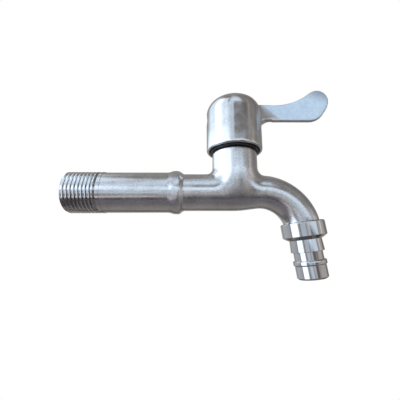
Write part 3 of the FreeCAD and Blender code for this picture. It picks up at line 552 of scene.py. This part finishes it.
def cap_steel():
    """Brushed cap that turns into a duller fin, painted pale blue for the bright window mirrored in it
    and painted darker at the tip for shade.
    """
    material, place, shader = finish("satin_handle_steel", Metallic=1.0)
    width = place.maths("ABSOLUTE", along(place, "Y"))
    inner_edge = width.between(0.8 * fin_half, 0.97 * fin_half)
    flat = inner_edge * width.between(1.1 * fin_half, 1.4 * fin_half, 1, 0)
    slant = along(place, "X") + along(place, "Z") * fin_slant
    fin = slant.between(fin_start, fin_end) * flat
    beside = along(place, "X").between(root_start, root_end)
    grain = place.grain(2100, 2, (1, 1, 0.6))
    waves = place.grain(80, 1)
    patches = place.grain(170, 4)
    blotches = place.grain(520, 5)
    cap_mix = (grain * 0.5 + patches * 0.5).between(0.25, 0.75)
    cap_colour = cap_mix.tinted((0.55, 0.545, 0.54), (0.71, 0.705, 0.7))
    fin_mix = (blotches * 0.7 + grain * 0.3).between(0.3, 0.7)
    # painted reflection: the fin's pale blue stands in for the bright window mirrored in it, over its
    # real mottled cast skin
    fin_mottle_and_painted_light = fin_mix.tinted((0.66, 0.8, 0.95), (0.79, 0.92, 1.0))
    # painted shade: the fin darkens towards its tip's top edge, where its rounded edge turns away from
    # the light
    height = along(place, "Z") + along(place, "X") * tip_shade_slant
    fin_mottle_and_painted_light = height.between(tip_shade_start, tip_shade_end).tinted(fin_mottle_and_painted_light, fin_tip_painted_shade)
    feed(
        shader,
        grain * 0.8 + waves * 2.0 + blotches * fin * 2.0,
        handle_depth,
        Base_Color=fin.tinted(cap_colour, fin_mottle_and_painted_light),
        Metallic=1 - fin * 0.7,
        Roughness=patches.between(0.35, 0.7, 0.14, 0.22) + fin * 0.38 + beside * (1 - fin) * 0.2,
    )
    return material


handle = even_skin("handle_casting", "handle", handle_voxel, "turning_set")
smoothed(handle.data, [
    (near_root, 50),
    (under_root, 70),
    (lambda place: True, 8),
])
handle.data.materials.clear()
handle.data.materials.append(cap_steel())

# Studio: a pale floor under the tap, and a room with a wide window on the left and a light ceiling.
# The room lights the tap and is mirrored in its metal, while the camera and glass see plain white.

floor_height = -0.25
floor_half = 0.21
floor_shade = 0.06
floor_shine = 0.02
backdrop_shine = 0.5


def ray_kinds(place):
    """Is this ray the camera's, a glossy surface's or one through glass?"""
    kinds = ("Camera", "Glossy", "Transmission")
    return [place.node("LightPath", {}, {}, output=f"Is {kind} Ray") for kind in kinds]


def pale_floor():
    """Seen as white with a trace of its shading, which fades out to the floor's edge."""
    material, place, shader = finish("pale_floor", Roughness=0.9)
    back = along(place, "Y").between(-0.1, 0.1)
    colour = back.tinted((0.24, 0.205, 0.21), (0.46, 0.38, 0.32))
    tree = shader.id_data
    tree.links.new(colour.socket, shader.inputs["Base Color"])
    middle = (neck_x, 0, floor_height)
    apart = place.node("VectorMath", {"operation": "DISTANCE"}, {0: place, 1: middle}, output=1)
    shade = apart.between(0.4 * floor_half, 0.95 * floor_half, floor_shade, 0)
    ray, gloss, glass = ray_kinds(place)
    white = place.node("Emission", {}, {"Color": (1, 1, 1, 1), "Strength": 1.0})
    factor = ray * (1 - shade) + gloss * floor_shine + glass * (1 - shade)
    seen = place.node("MixShader", {}, {0: factor, 1: Socket(tree, shader.outputs[0]), 2: white})
    tree.links.new(seen.socket, tree.nodes["Material Output"].inputs["Surface"])
    return material


ground = bmesh.new()
bmesh.ops.create_grid(ground, x_segments=1, y_segments=1, size=floor_half)
bmesh.ops.translate(ground, verts=ground.verts, vec=(neck_x, 0, floor_height))
floor_mesh = bpy.data.meshes.new("studio_floor")
ground.to_mesh(floor_mesh)
ground.free()
floor = bpy.data.objects.new("studio_floor", floor_mesh)
floor.data.materials.append(pale_floor())
bpy.context.scene.collection.objects.link(floor)


def studio_room():
    """The room round the tap by direction: angles from the camera's side, turning right, and upwards."""
    world = bpy.data.worlds.new("studio_room")
    bpy.context.scene.world = world
    world.use_nodes = True
    tree = world.node_tree
    way = Socket(tree, None).node("TexCoord", {}, {}, output="Generated")
    east, north, up = [along(way, axis) for axis in "XYZ"]
    degree = 180 / pi
    turn = east.maths("ARCTAN2", east, north * -1) * degree
    rise = up.maths("ARCSINE", up) * degree

    def band(angle, low, high, soft):
        """1 between two angles, with edges softened by the last value."""
        return angle.between(low - soft, low + soft) * angle.between(high - soft, high + soft, 1, 0)

    def patch(across, upwards):
        """1 inside a soft rectangle of directions: two angles and a softness each way."""
        return band(turn, *across) * band(rise, *upwards)

    # the wide window on the left: its brightest pane, the glow low in it, a dark bar and what is below
    side = turn.between(-144, -112) * turn.between(-35, -26, 1, 0)
    window = side * band(rise, 6, 66, 5)
    bright = patch((-88, -60, 8), (4, 62, 10))
    glow = patch((-146, -24, 6), (5, 25, 3))
    bar = patch((-47, -42, 1.5), (6, 62, 3))
    low_window = patch((-84, -46, 3), (-26, 4, 3))
    low_sides = (band(turn, -150, -90, 6) + band(turn, -46, -38, 2)) * band(rise, -22, 4, 3)

    # pale things near the camera, the light sill behind it and the ceiling over it
    near = band(turn, -33, -6, 3) * (band(rise, 4, 22, 3) + band(rise, -14, 4, 3) * 0.55)
    near = near + (band(turn, -31, -14, 4) + band(turn, -13, -6, 2.5)) * band(rise, 22, 37, 2) * 0.7
    near = near + patch((2, 16, 4), (-26, -8, 3)) * 0.14
    near = near + patch((-3, 13, 3), (-8, 3, 2)) * 0.4
    near = near + patch((-24, 12, 4), (-24, -8, 3)) * 0.22
    sill = patch((-6, 52, 4), (3.5, 17, 1.5)) + patch((-6, 38, 3), (16, 23, 2)) * 0.85
    sill = sill + patch((-7, 12, 4), (3.5, 18, 1.5)) * 0.3
    over = band(turn, -22, 30, 9) * (band(rise, 36, 62, 7) + band(rise, 62, 84, 7) * 0.5)

    # the right side: two light strips, a doorway and a pale wall
    strips = patch((55, 62, 2), (24, 60, 6)) * 0.15 + patch((70, 78, 2), (4, 24, 4)) * 0.4
    doorway = patch((56, 104, 5), (-14, 14, 4)) + patch((34, 58, 5), (-24, 0, 3))
    wall = patch((45, 90, 8), (12, 22, 5)) + patch((2, 12, 4), (-14, 4, 3))

    # the lower part: a light ledge on the left, the dark ground in front and other dark places
    ledge = patch((-60, -9, 5), (-36, -27, 2))
    low_front = rise.between(-48, -18, 1, 0) * band(turn, -108, 46, 14)
    back = 1 - band(turn, -108, 108, 14)
    dim = band(turn, 94, 132, 8) + band(rise, -56, -28, 3) * back * 2
    dim = dim + patch((-8, 50, 6), (25, 34, 3))
    dim = dim + patch((14, 50, 4), (-11, 2.5, 1.5)) * 0.8

    # all light together, cool where it comes from outside and warmer elsewhere
    cool = window * 0.95 + bright * 1.1 + glow * 0.9 + low_window * 2.0 + low_sides * 0.3 + near * 0.9
    cool = cool + sill * 0.85 + over * 0.8 - bar * 0.15
    light = 0.28 + cool + strips + doorway * 0.3 + wall * 0.12 + back * 0.08
    light = light + ledge * 0.55 - low_front * 0.2 - dim * 0.1
    tint = cool.between(0.0, 0.6).tinted((1.04, 0.99, 0.96), (0.85, 0.99, 1.16))
    tint = low_front.tinted(tint, (1.12, 1.0, 1.15))
    lit = way.node("Background", {}, {"Color": tint, "Strength": light})
    white = way.node("Background", {}, {"Color": (1, 1, 1, 1), "Strength": 1.0})
    ray, gloss, glass = ray_kinds(way)
    backdrop = north.between(0.92, 0.995)
    factor = ray + gloss * backdrop * backdrop_shine + glass
    seen = way.node("MixShader", {}, {0: factor, 1: lit, 2: white})
    tree.links.new(seen.socket, tree.nodes["World Output"].inputs["Surface"])


studio_room()

# Camera: fitted to the photograph. It stands close, a little below the tap, and looks up at it.

lens = 22.5
camera_place = (0.04775, -0.12485, -0.02726)
camera_pitch = radians(10.65)
camera_yaw = radians(0.085)

camera = bpy.data.objects.new("camera", bpy.data.cameras.new("camera"))
camera.data.lens = lens
camera.data.sensor_width = 36
camera.data.clip_start = 0.01
camera.location = camera_place
camera.rotation_euler = (pi / 2 + camera_pitch, 0, -camera_yaw)
bpy.context.scene.collection.objects.link(camera)
bpy.context.scene.camera = camera
bpy.context.scene.view_settings.view_transform = "Standard"
